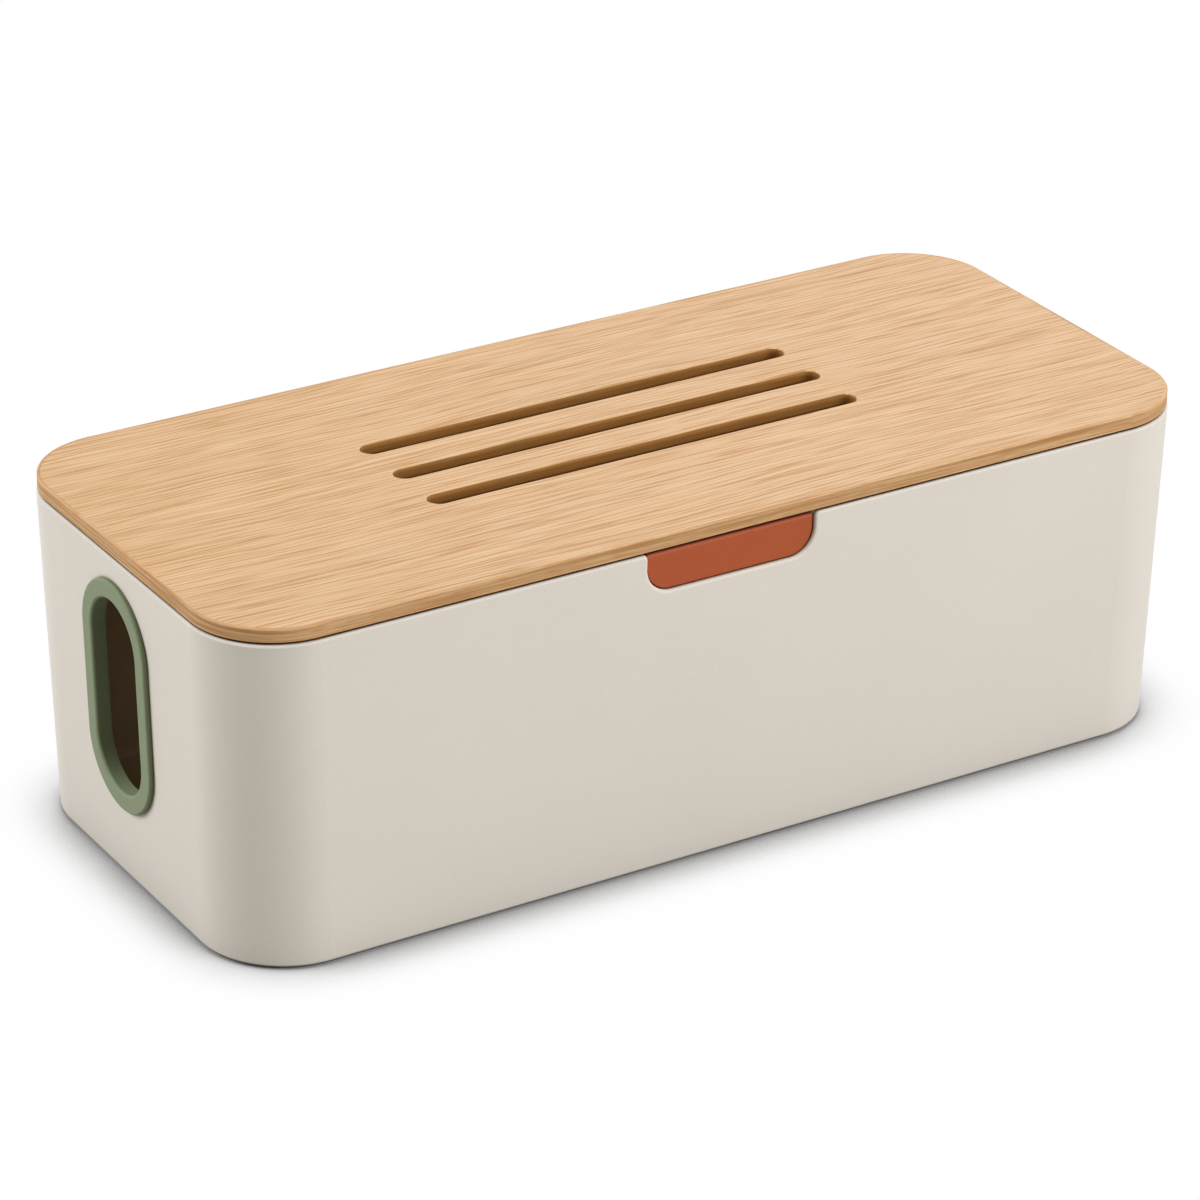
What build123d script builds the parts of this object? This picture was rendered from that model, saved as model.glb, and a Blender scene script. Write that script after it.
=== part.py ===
"""Cable management box with a lift-off oak lid and a press tab that frees its magnet catch.

Millimetres. The origin is at the bottom centre, on the surface that the feet stand on.
+X runs along the box, +Z is up, and the wall with the press tab faces -Y.
"""
from build123d import *
from math import atan, cos, hypot, sin
import os

# ---------------------------------------------------------------- driving dimensions

# Moulded box
BOX_LENGTH = 400.0          # outside, at the rim
BOX_WIDTH = 176.0           # outside, at the rim
BODY_HEIGHT = 125.85        # from the underside of the box to its rim
CORNER_RADIUS = 32.5        # plan corner at the rim
BASE_CORNER_RADIUS = 33.0   # plan corner at the base
WALL_LEAN = 2.7             # how far each wall stands further in at the base than at the rim
WALL = 2.5
FLOOR = 3.0
BASE_EDGE_RADIUS = 1.2      # outside edge between floor and wall
CAVITY_RADIUS = 4.0         # inside edge between floor and wall
RIM_OUTER_ROUND = 1.1
RIM_INNER_ROUND = 0.5
BASE_RELIEF_DEPTH = 0.8     # the middle of the underside is sunk, so that only its border is seen
BASE_RELIEF_MARGIN = 44.0

# Feet
FOOT_RADIUS = 8.0
FOOT_PROUD = 0.8            # how far a foot stands below the box
FOOT_SEAT_DEPTH = 1.5
FOOT_SEAT_GAP = 0.3         # round the foot in its seat
FOOT_INSET = 24.0           # foot centre from the base's sides
FOOT_EDGE = 0.5

# Lid
LID_THICKNESS = 5.0
LID_INSET = 0.4             # how far the lid's edge stands inside the rim outline
LID_GAP = 0.9               # shadow line between rim and lid
BAND_THICKNESS = 1.2        # edge band round the board
LID_TOP_ROUND = 0.5
LID_LOW_ROUND = 0.2
SLOT_LENGTH = 179.4
SLOT_WIDTH = 9.1
SLOT_PITCH = 24.3
SLOT_COUNT = 3
SLOT_CENTRE_X = 0.7
SLOT_CENTRE_Y = 2.6
SLOT_ARRIS = 0.4

# Locating frame under the lid
FRAME_THICKNESS = 2.5
FRAME_RAIL = 16.0
FRAME_CLEARANCE = 0.6       # between the frame's lip and the box's wall
LIP_HEIGHT = 5.0
LIP_THICKNESS = 1.8
FRAME_ROUND = 0.6

# Corner posts and lid bumpers
POST_RADIUS = 5.0
POST_REACH = 20.0           # from the rim corner's centre, outwards along the diagonal
POST_RIB = 1.8
POST_RIB_DROP = 5.0         # rib top below the post's top
BUMPER_HEIGHT = 3.5
BUMPER_EDGE = 0.8
BUMPER_STEM_RADIUS = 2.0
BUMPER_STEM_LENGTH = 6.0
SEAT_CLEARANCE = 0.05       # round a pressed-in stem, a screw or a magnet

# Cable ports in both ends
PORT_WIDTH = 33.4           # clear opening
PORT_HEIGHT = 75.0
PORT_Y = 2.7
PORT_BELOW_RIM = 53.1       # centre below the rim
GROMMET_SLEEVE = 2.0
GROMMET_FLANGE = 7.1        # width of the outer flange, from the opening
GROMMET_PROUD = 2.0
GROMMET_LIP = 4.6           # reach of the inner lip, from the opening
GROMMET_LIP_THICKNESS = 1.4
GROMMET_OUTER_ROUND = 0.9
GROMMET_BORE_ROUND = 1.2

# Notch and press tab in the front wall
NOTCH_X = -4.6
NOTCH_WIDTH = 69.0
NOTCH_DEPTH = 15.85         # below the rim
NOTCH_RADIUS = 10.0
NOTCH_FLARE = 2.0
TAB_REVEAL = 0.25           # gap between tab and notch
TAB_RECESS = 1.5            # tab face behind the wall's face
TAB_DROP = 0.6              # tab top below the rim
TAB_TOP_ROUND = 1.7
TAB_EDGE_ROUND = 0.4
TAB_TRAVEL = 4.0
TAB_FLANGE_LAP = 2.0        # how far the stop flange laps behind the wall
TAB_FLANGE_THICKNESS = 1.6
TAB_FLANGE_DROP = 3.0       # flange top below the rim
STOP_GAP = 0.15             # between the stop flange and the wall
TAB_PRONG_WIDTH = 5.0       # two snap prongs that hold the tab on its sled
TAB_PRONG_THICKNESS = 1.5
TAB_PRONG_SPREAD = 31.6
TAB_PRONG_HOOK = 0.5
TAB_PRONG_TIP = 1.2
SLED_THICKNESS = 2.0        # plate that runs in the housing's grooves
SLED_WALL = 1.6             # upright behind the tab
SLED_ABOVE_NOTCH = 0.4      # its underside above the notch's lower edge
RUN_GAP = 0.15              # sliding clearance all round the sled

# Magnets and strike
MAGNET_LENGTH = 12.0
MAGNET_WIDTH = 5.0
MAGNET_HEIGHT = 3.0
MAGNET_SPREAD = 9.5         # magnet centre from the tab's centre
MAGNET_AIR_GAP = 0.5
MAGNET_WALL = 1.6           # plastic round each magnet
MAGNET_CHAMFER = 0.4
STRIKE_THICKNESS = 1.2
STRIKE_LENGTH = 72.0
STRIKE_TAIL = 11.0          # part of the strike behind the magnets, which takes the screws
STRIKE_SCREW_SPREAD = 28.0
STRIKE_CORNER = 2.0
TAB_TO_STRIKE = 0.8         # running gap between the pressed tab and the strike
PAD_MARGIN = 3.0            # catch pad past the strike at each end
FRAME_GAP_MARGIN = 3.0      # between the stop flange and the frame's two ends

# Latch housing
HOUSING_WALL = 2.6
HOUSING_FLOOR = 2.0
HOUSING_BACK = 2.0
HOUSING_SIDE_GAP = 0.5      # between the stop flange and the housing's sides
HOUSING_UNDER_GAP = 1.2     # between the stop flange and the housing's floor
HOUSING_FRONT_GAP = 0.5
HOUSING_SIDE_RISE = 4.0     # sides above the sled
HOUSING_BACK_RISE = 1.0     # back above the springs
HOUSING_CHAMFER = 2.0       # the two rear corners
GROOVE_DEPTH = 1.2
EAR_THICKNESS = 2.5
EAR_WIDTH = 8.6
BOSS_RADIUS = 3.6
BOSS_LENGTH = 6.0           # from the wall's inner face

# Springs
SPRING_RADIUS = 2.5         # outside
SPRING_WIRE = 0.6           # wire diameter
SPRING_TURNS = 5
SPRING_SPREAD = 26.0
SPRING_REAR_ROOM = 1.6      # between the pressed sled and the housing's back
PIN_RADIUS = 1.7
PIN_LENGTH = 4.0

# Screws
SCREW_RADIUS = 1.3
SCREW_HEAD_RADIUS = 2.8
SCREW_HEAD_HEIGHT = 1.6
SCREW_IN_BOARD = 3.6
SCREW_IN_BOSS = 4.5
PILOT_OVERRUN = 0.4         # blind hole past the tip of its screw or stem
DRIVE_DEPTH = 0.8           # cross recess in a screw's head
DRIVE_WIDTH = 0.7
FRAME_SCREW_X = (140.0, 62.0)

# ---------------------------------------------------------------- derived places

Z_BASE = FOOT_PROUD
Z_RIM = Z_BASE + BODY_HEIGHT
Z_LID = Z_RIM + LID_GAP
Z_FRAME = Z_LID - FRAME_THICKNESS
Z_POST = Z_FRAME - BUMPER_HEIGHT
Z_NOTCH = Z_RIM - NOTCH_DEPTH
Z_PORT = Z_RIM - PORT_BELOW_RIM
Z_SLED = Z_NOTCH + SLED_ABOVE_NOTCH
Z_MAGNET = Z_FRAME - STRIKE_THICKNESS - MAGNET_AIR_GAP
Z_HOUSING = Z_NOTCH - TAB_FLANGE_LAP - HOUSING_UNDER_GAP - HOUSING_FLOOR
Z_SPRING = Z_SLED + SLED_THICKNESS + RUN_GAP + SPRING_RADIUS + SPRING_WIRE

WALL_ANGLE = atan(WALL_LEAN / BODY_HEIGHT)
WALL_LEAN_AT_FLANGE = WALL_LEAN * (NOTCH_DEPTH + TAB_FLANGE_LAP) / BODY_HEIGHT
Y_INNER = -BOX_WIDTH / 2 + WALL + WALL_LEAN_AT_FLANGE
Y_FLANGE = Y_INNER + STOP_GAP
Y_TAB_BACK = Y_FLANGE + TAB_FLANGE_THICKNESS
Y_SLED_WALL = Y_TAB_BACK + SLED_WALL
Y_STRIKE = Y_TAB_BACK + TAB_TRAVEL + TAB_TO_STRIKE
Y_SLED_END = Y_STRIKE + MAGNET_WIDTH + MAGNET_WALL
Y_HOUSING_BACK = Y_SLED_END + TAB_TRAVEL + SPRING_REAR_ROOM
Y_EAR = Y_INNER + BOSS_LENGTH
FLANGE_HALF = NOTCH_WIDTH / 2 + TAB_FLANGE_LAP
HOUSING_HALF = FLANGE_HALF + HOUSING_SIDE_GAP
SLED_HALF = HOUSING_HALF + GROOVE_DEPTH - RUN_GAP
HOUSING_OUTER = HOUSING_HALF + HOUSING_WALL
BOSS_X = HOUSING_OUTER + EAR_WIDTH / 2
BOSS_Z = Z_SLED + SLED_THICKNESS / 2
FRAME_INSET = WALL + FRAME_CLEARANCE


# ---------------------------------------------------------------- shared geometry

def lean_at(z):
    """How far the outer wall stands inside the rim outline at height z."""
    return WALL_LEAN * (Z_RIM - z) / BODY_HEIGHT


def radius_at(z):
    """Plan corner radius of the outer wall at height z."""
    share = (z - Z_BASE) / BODY_HEIGHT
    return BASE_CORNER_RADIUS + (CORNER_RADIUS - BASE_CORNER_RADIUS) * share


def outline_at(z, gap=0.0):
    """The wall's plan outline at height z, drawn in by gap, as a face."""
    inset = lean_at(z) + gap
    flat = RectangleRounded(
        BOX_LENGTH - 2 * inset, BOX_WIDTH - 2 * inset, radius_at(z) - gap
    )
    return Pos(0, 0, z) * flat


def leaning_block(z_low, z_high, gap=0.0):
    """A solid whose sides run parallel to the outer wall, gap inside it."""
    return loft([outline_at(z_low, gap), outline_at(z_high, gap)], ruled=True)


def lid_outline(z, inset):
    """The lid's plan outline, inset from the rim outline, as a face at height z."""
    flat = RectangleRounded(
        BOX_LENGTH - 2 * inset, BOX_WIDTH - 2 * inset, CORNER_RADIUS - inset
    )
    return Pos(0, 0, z) * flat


def wall_depth(point):
    """How far a point lies inside the outer wall, negative outside it."""
    lean = lean_at(point.Z)
    radius = radius_at(point.Z)
    over_x = abs(point.X) - (BOX_LENGTH / 2 - lean - radius)
    over_y = abs(point.Y) - (BOX_WIDTH / 2 - lean - radius)
    if over_x > 0 and over_y > 0:
        return radius - hypot(over_x, over_y)
    return radius - max(over_x, over_y)


def rim_edges(solid, depth):
    """The loop of rim and notch edges that lies at one depth in the wall."""
    samples = [n / 4 for n in range(5)]
    found = []
    for edge in solid.edges():
        points = [edge.position_at(t) for t in samples]
        in_plane = all(abs(wall_depth(p) - depth) < 0.02 for p in points)
        near_rim = all(p.Z > Z_NOTCH - 0.02 for p in points)
        if in_plane and near_rim:
            found.append(edge)
    return found


def block(x_span, y_span, z_span):
    """A box between two values on each axis, with x counted from the tab's centre."""
    size = [high - low for low, high in (x_span, y_span, z_span)]
    middle = [(high + low) / 2 for low, high in (x_span, y_span, z_span)]
    return Pos(NOTCH_X + middle[0], middle[1], middle[2]) * Box(*size)


def facing_front(x, y, z):
    """A plane square to Y, seen from the front, at x from the tab's centre."""
    return Plane(origin=(NOTCH_X + x, y, z), x_dir=(1, 0, 0), z_dir=(0, -1, 0))


def pan_screw(grip):
    """A pan-head screw standing on its head's seat, with its shank up +Z."""
    head = Pos(0, 0, -SCREW_HEAD_HEIGHT / 2) * Cylinder(SCREW_HEAD_RADIUS, SCREW_HEAD_HEIGHT)
    low_rim = head.edges().sort_by(Axis.Z)[0]
    head = chamfer(low_rim, SCREW_HEAD_HEIGHT / 2)
    shank = Pos(0, 0, grip / 2) * Cylinder(SCREW_RADIUS, grip)
    tip = shank.edges().sort_by(Axis.Z)[-1]
    shank = chamfer(tip, SCREW_RADIUS * 0.5)
    arm = Box(SCREW_HEAD_RADIUS, DRIVE_WIDTH, DRIVE_DEPTH)
    cross = arm + Rot(0, 0, 90) * arm
    recess = Pos(0, 0, -SCREW_HEAD_HEIGHT + DRIVE_DEPTH / 2) * cross
    return head + shank - recess


# ---------------------------------------------------------------- box body

def corner_posts():
    """Plan position and diagonal angle of each corner post."""
    centre_x = BOX_LENGTH / 2 - CORNER_RADIUS
    centre_y = BOX_WIDTH / 2 - CORNER_RADIUS
    step = POST_REACH * cos(atan(1.0))
    places = {}
    for end, sx in (("left", -1), ("right", 1)):
        for side, sy in (("front", -1), ("rear", 1)):
            place = (sx * (centre_x + step), sy * (centre_y + step))
            places[f"{side}_{end}"] = (place, 45 * sx * sy)
    return places


def foot_places():
    """Plan position of each foot."""
    x = BOX_LENGTH / 2 - WALL_LEAN - FOOT_INSET
    y = BOX_WIDTH / 2 - WALL_LEAN - FOOT_INSET
    names = (("front_left", -1, -1), ("front_right", 1, -1), ("rear_left", -1, 1), ("rear_right", 1, 1))
    return {name: (sx * x, sy * y) for name, sx, sy in names}


def notch_profile():
    """The notch as a face in X and Z, open above the rim, with round lower corners."""
    over = 2 * RIM_OUTER_ROUND
    slot = Pos(0, (over - NOTCH_DEPTH) / 2) * Rectangle(NOTCH_WIDTH, NOTCH_DEPTH + over)
    return fillet(slot.vertices().group_by(Axis.Y)[0], NOTCH_RADIUS)


def mouth_edges(solid):
    """The two edges where the notch's sides meet the top of the rim."""
    found = []
    for edge in solid.edges():
        ends = (edge.position_at(0), edge.position_at(1))
        on_top = all(abs(p.Z - Z_RIM) < 0.01 for p in ends)
        on_side = all(abs(abs(p.X - NOTCH_X) - NOTCH_WIDTH / 2) < 0.01 for p in ends)
        if on_top and on_side:
            found.append(edge)
    return found


def port_plane(side, depth=0.0):
    """The end wall's outer face at the port's centre, moved in by depth."""
    out = Vector(side * cos(WALL_ANGLE), 0, -sin(WALL_ANGLE))
    middle = Vector(side * (BOX_LENGTH / 2 - lean_at(Z_PORT)), PORT_Y, Z_PORT)
    return Plane(origin=middle - out * depth, x_dir=(0, side, 0), z_dir=out)


def port_outline(grow):
    """The port's upright round-ended outline, grown all round."""
    return SlotOverall(PORT_HEIGHT + 2 * grow, PORT_WIDTH + 2 * grow, rotation=90)


def make_box_shell():
    """Drafted tub with a notched, rounded rim, posts, bosses, port windows and foot seats."""
    tub = leaning_block(Z_BASE, Z_RIM)
    tub = fillet(tub.edges().group_by(Axis.Z)[0], BASE_EDGE_RADIUS)
    core = leaning_block(Z_BASE + FLOOR, Z_RIM + 1, WALL)
    core = fillet(core.edges().group_by(Axis.Z)[0], CAVITY_RADIUS)
    tub -= core
    mouth = facing_front(0, -BOX_WIDTH / 2 + 3 * WALL, Z_RIM) * notch_profile()
    tub -= extrude(mouth, 6 * WALL)
    tub = fillet(mouth_edges(tub), NOTCH_FLARE)
    tub = fillet(rim_edges(tub, 0.0), RIM_OUTER_ROUND)
    tub = fillet(rim_edges(tub, WALL), RIM_INNER_ROUND)

    supports = []
    for (x, y), angle in corner_posts().values():
        height = Z_POST - Z_BASE - FLOOR / 2
        post = Pos(x, y, Z_POST - height / 2) * Cylinder(POST_RADIUS, height)
        rib_height = height - POST_RIB_DROP
        outwards = 1 if x > 0 else -1
        rib = Pos(outwards * POST_REACH / 2, 0) * Box(POST_REACH, POST_RIB, rib_height)
        rib = Pos(x, y, Z_POST - POST_RIB_DROP - rib_height / 2) * Rot(0, 0, angle) * rib
        supports.append(post + rib)
    for side in (-1, 1):
        face = facing_front(side * BOSS_X, Y_EAR, BOSS_Z) * Circle(BOSS_RADIUS)
        supports.append(extrude(face, BOSS_LENGTH + WALL))
    trim = leaning_block(Z_BASE + FLOOR / 2, Z_RIM, WALL / 2)
    for support in supports:
        tub += support & trim

    stem = BUMPER_STEM_RADIUS + SEAT_CLEARANCE
    for (x, y), _ in corner_posts().values():
        hole = BUMPER_STEM_LENGTH + PILOT_OVERRUN
        tub -= Pos(x, y, Z_POST - hole / 2) * Cylinder(stem, hole)
    for side in (-1, 1):
        pilot = facing_front(side * BOSS_X, Y_EAR, BOSS_Z) * Circle(SCREW_RADIUS + SEAT_CLEARANCE)
        tub -= extrude(pilot, SCREW_IN_BOSS + PILOT_OVERRUN)
        window = port_plane(side, 2 * WALL) * port_outline(GROMMET_SLEEVE + SEAT_CLEARANCE)
        tub -= extrude(window, 4 * WALL)
    seat_height = FOOT_SEAT_DEPTH
    for x, y in foot_places().values():
        seat = Cylinder(FOOT_RADIUS + FOOT_SEAT_GAP, seat_height)
        tub -= Pos(x, y, Z_BASE + seat_height / 2) * seat
    relief = RectangleRounded(
        BOX_LENGTH - 2 * BASE_RELIEF_MARGIN, BOX_WIDTH - 2 * BASE_RELIEF_MARGIN, CORNER_RADIUS / 2
    )
    tub -= extrude(Pos(0, 0, Z_BASE) * relief, BASE_RELIEF_DEPTH)
    return tub


def make_foot(place):
    """Soft disc in its seat, eased where it meets the table."""
    height = FOOT_PROUD + FOOT_SEAT_DEPTH
    disc = Pos(place[0], place[1], height / 2) * Cylinder(FOOT_RADIUS, height)
    return chamfer(disc.edges().sort_by(Axis.Z)[0], FOOT_EDGE)


def make_bumper(place):
    """Soft button on a corner post that carries the lid."""
    head = Pos(0, 0, BUMPER_HEIGHT / 2) * Cylinder(POST_RADIUS, BUMPER_HEIGHT)
    head = chamfer(head.edges().sort_by(Axis.Z)[-1], BUMPER_EDGE)
    stem = Pos(0, 0, -BUMPER_STEM_LENGTH / 2) * Cylinder(BUMPER_STEM_RADIUS, BUMPER_STEM_LENGTH)
    return Pos(place[0], place[1], Z_POST) * (head + stem)


def make_grommet(side):
    """Soft grommet: one section with flange, wall groove and inner lip, run round the port."""
    groove = WALL * cos(WALL_ANGLE) + SEAT_CLEARANCE
    rear = groove + GROMMET_LIP_THICKNESS
    path = (port_plane(side) * port_outline(0)).wire()
    start = path.position_at(0)
    normal = port_plane(side).z_dir
    outwards = start - port_plane(side).origin
    outwards = outwards - normal * outwards.dot(normal)
    tangent = path.tangent_at(0)
    across = tangent.cross(normal)
    if across.dot(outwards) < 0:
        across = -across
    section_plane = Plane(origin=start, x_dir=across, z_dir=across.cross(normal))
    corners = [
        (0, GROMMET_PROUD), (GROMMET_FLANGE, GROMMET_PROUD), (GROMMET_FLANGE, 0),
        (GROMMET_SLEEVE, 0), (GROMMET_SLEEVE, -groove), (GROMMET_LIP, -groove),
        (GROMMET_LIP, -rear), (0, -rear),
    ]
    section = make_face(Polyline(*corners, close=True))

    def corner(x, y):
        return [v for v in section.vertices() if abs(v.X - x) < 0.01 and abs(v.Y - y) < 0.01]

    section = fillet(corner(GROMMET_FLANGE, GROMMET_PROUD), GROMMET_OUTER_ROUND)
    section = fillet(corner(0, GROMMET_PROUD), GROMMET_BORE_ROUND)
    section = fillet(corner(GROMMET_LIP, -rear), GROMMET_LIP_THICKNESS / 2)
    return sweep(section_plane * section, path=path)


# ---------------------------------------------------------------- lid

def slot_places():
    """Plan position of each vent slot's centre."""
    first = -(SLOT_COUNT - 1) / 2
    return [(SLOT_CENTRE_X, SLOT_CENTRE_Y + (first + n) * SLOT_PITCH) for n in range(SLOT_COUNT)]


def frame_screw_places():
    """Plan position of each screw that holds the frame to the board."""
    inset = FRAME_INSET + FRAME_RAIL / 2 + LIP_THICKNESS / 2
    x_end = BOX_LENGTH / 2 - inset
    y_side = BOX_WIDTH / 2 - inset
    places = [(sx * x, sy * y_side) for x in FRAME_SCREW_X for sx in (-1, 1) for sy in (-1, 1)]
    return places + [(-x_end, 0), (x_end, 0)]


def strike_screw_places():
    """Plan position of each screw that holds the strike."""
    y = Y_STRIKE + MAGNET_WIDTH + STRIKE_TAIL / 2
    return [(NOTCH_X + side * STRIKE_SCREW_SPREAD, y) for side in (-1, 1)]


def make_lid_board():
    """Oak board with three round-ended vent slots and blind pilot holes below."""
    board = extrude(lid_outline(Z_LID, LID_INSET + BAND_THICKNESS), LID_THICKNESS)
    for x, y in slot_places():
        slot = Pos(x, y, Z_LID) * SlotOverall(SLOT_LENGTH, SLOT_WIDTH)
        board -= extrude(slot, LID_THICKNESS)
    top = board.faces().sort_by(Axis.Z)[-1]
    board = chamfer([e for wire in top.inner_wires() for e in wire.edges()], SLOT_ARRIS)
    pilot = SCREW_RADIUS + SEAT_CLEARANCE
    for x, y in frame_screw_places() + strike_screw_places():
        depth = SCREW_IN_BOARD + PILOT_OVERRUN
        board -= Pos(x, y, Z_LID + depth / 2) * Cylinder(pilot, depth)
    return board


def make_edge_band():
    """Oak band glued round the board, rounded above and eased below."""
    band = extrude(lid_outline(Z_LID, LID_INSET), LID_THICKNESS)
    band = fillet(band.edges().group_by(Axis.Z)[-1], LID_TOP_ROUND)
    band = fillet(band.edges().group_by(Axis.Z)[0], LID_LOW_ROUND)
    return band - extrude(lid_outline(Z_LID, LID_INSET + BAND_THICKNESS), LID_THICKNESS)


def frame_gap():
    """The stretch of the front rail, counted from the tab's centre, that is left open for the tab."""
    half = FLANGE_HALF + FRAME_GAP_MARGIN
    return (-half, half)


def make_lid_frame():
    """Moulded ring screwed under the board, open at the tab; its lip centres the lid in the rim."""
    ring = extrude(lid_outline(Z_FRAME, FRAME_INSET), FRAME_THICKNESS)
    ring -= extrude(lid_outline(Z_FRAME, FRAME_INSET + FRAME_RAIL), FRAME_THICKNESS)
    lip = extrude(lid_outline(Z_FRAME - LIP_HEIGHT, FRAME_INSET), LIP_HEIGHT)
    lip = chamfer(lip.edges().group_by(Axis.Z)[0], FRAME_ROUND)
    lip -= extrude(lid_outline(Z_FRAME - LIP_HEIGHT, FRAME_INSET + LIP_THICKNESS), LIP_HEIGHT)
    frame = ring + lip
    across = (-BOX_WIDTH / 2, -BOX_WIDTH / 2 + FRAME_INSET + FRAME_RAIL)
    frame -= block(frame_gap(), across, (Z_FRAME - LIP_HEIGHT, Z_LID))
    hole = SCREW_RADIUS + SEAT_CLEARANCE
    for x, y in frame_screw_places():
        frame -= Pos(x, y, Z_FRAME + FRAME_THICKNESS / 2) * Cylinder(hole, FRAME_THICKNESS)
    return frame


def make_catch_pad():
    """Moulded spacer that carries the strike level with the frame, between the frame's ends."""
    length = MAGNET_WIDTH + STRIKE_TAIL
    width = STRIKE_LENGTH + 2 * PAD_MARGIN
    flat = RectangleRounded(width, length, STRIKE_CORNER)
    pad = extrude(Pos(NOTCH_X, Y_STRIKE + length / 2, Z_FRAME) * flat, FRAME_THICKNESS)
    hole = SCREW_RADIUS + SEAT_CLEARANCE
    for x, y in strike_screw_places():
        pad -= Pos(x, y, Z_FRAME + FRAME_THICKNESS / 2) * Cylinder(hole, FRAME_THICKNESS)
    return pad


def make_frame_screws():
    """Ten wood screws that hold the frame to the board."""
    grip = FRAME_THICKNESS + SCREW_IN_BOARD
    return Compound([Pos(x, y, Z_FRAME) * pan_screw(grip) for x, y in frame_screw_places()])


def make_strike():
    """Steel strike plate that the magnets pull on, screwed under the catch pad."""
    length = MAGNET_WIDTH + STRIKE_TAIL
    z = Z_FRAME - STRIKE_THICKNESS
    flat = Pos(NOTCH_X, Y_STRIKE + length / 2, z) * RectangleRounded(
        STRIKE_LENGTH, length, STRIKE_CORNER
    )
    plate = extrude(flat, STRIKE_THICKNESS)
    for x, y in strike_screw_places():
        plate -= Pos(x, y, z + STRIKE_THICKNESS / 2) * Cylinder(
            SCREW_RADIUS + SEAT_CLEARANCE, STRIKE_THICKNESS
        )
    return plate


def make_strike_screws():
    """Two screws through strike and pad into the board."""
    grip = STRIKE_THICKNESS + FRAME_THICKNESS + SCREW_IN_BOARD
    z = Z_FRAME - STRIKE_THICKNESS
    return Compound([Pos(x, y, z) * pan_screw(grip) for x, y in strike_screw_places()])


# ---------------------------------------------------------------- press tab and its housing

def magnet_span(side):
    """Where a magnet lies in X and Y."""
    middle = side * MAGNET_SPREAD
    return (middle - MAGNET_LENGTH / 2, middle + MAGNET_LENGTH / 2), (Y_STRIKE, Y_STRIKE + MAGNET_WIDTH)


def prong_span(side, gap=0.0):
    """Where a snap prong lies in X and Z, counted from the tab's centre, grown by gap."""
    middle = side * TAB_PRONG_SPREAD
    half = TAB_PRONG_WIDTH / 2 + gap
    z_low = Z_SLED + SLED_THICKNESS + TAB_PRONG_HOOK
    return (middle - half, middle + half), (z_low - gap, z_low + TAB_PRONG_THICKNESS + gap)


def make_latch_tab():
    """Press tab: leaning face with a round top edge, stop flange and two snap prongs."""
    height = NOTCH_DEPTH - TAB_REVEAL - TAB_DROP
    width = NOTCH_WIDTH - 2 * TAB_REVEAL
    flat = Pos(0, -TAB_DROP - height / 2) * Rectangle(width, height)
    flat = fillet(flat.vertices().group_by(Axis.Y)[0], NOTCH_RADIUS - TAB_REVEAL)
    tab = extrude(facing_front(0, Y_TAB_BACK, Z_RIM) * flat, 4 * WALL)
    tab = tab & leaning_block(Z_BASE, Z_RIM, TAB_RECESS)
    front = tab.faces().sort_by(Axis.Y)[0]
    tab = fillet(front.edges().sort_by(Axis.Z)[-1], TAB_TOP_ROUND)
    front = tab.faces().sort_by(Axis.Y)[0]
    tab = fillet(front.edges().sort_by(Axis.Z)[:-1], TAB_EDGE_ROUND)

    lap = TAB_FLANGE_LAP
    stop_height = NOTCH_DEPTH + lap - TAB_FLANGE_DROP
    stop = Pos(0, -TAB_FLANGE_DROP - stop_height / 2) * Rectangle(2 * FLANGE_HALF, stop_height)
    stop = fillet(stop.vertices().group_by(Axis.Y)[0], NOTCH_RADIUS + lap)
    tab += extrude(facing_front(0, Y_TAB_BACK, Z_RIM) * stop, TAB_FLANGE_THICKNESS)
    for side in (-1, 1):
        x_span, (z_low, z_high) = prong_span(side)
        y_hook = (Y_SLED_WALL + SEAT_CLEARANCE, Y_SLED_WALL + SEAT_CLEARANCE + TAB_PRONG_TIP)
        tab += block(x_span, (Y_FLANGE, y_hook[1]), (z_low, z_high))
        hook = block(x_span, y_hook, (z_low, z_high + TAB_PRONG_HOOK))
        tab += chamfer(hook.edges().group_by(Axis.Y)[-1].sort_by(Axis.Z)[-1], TAB_PRONG_HOOK)
    return tab


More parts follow.
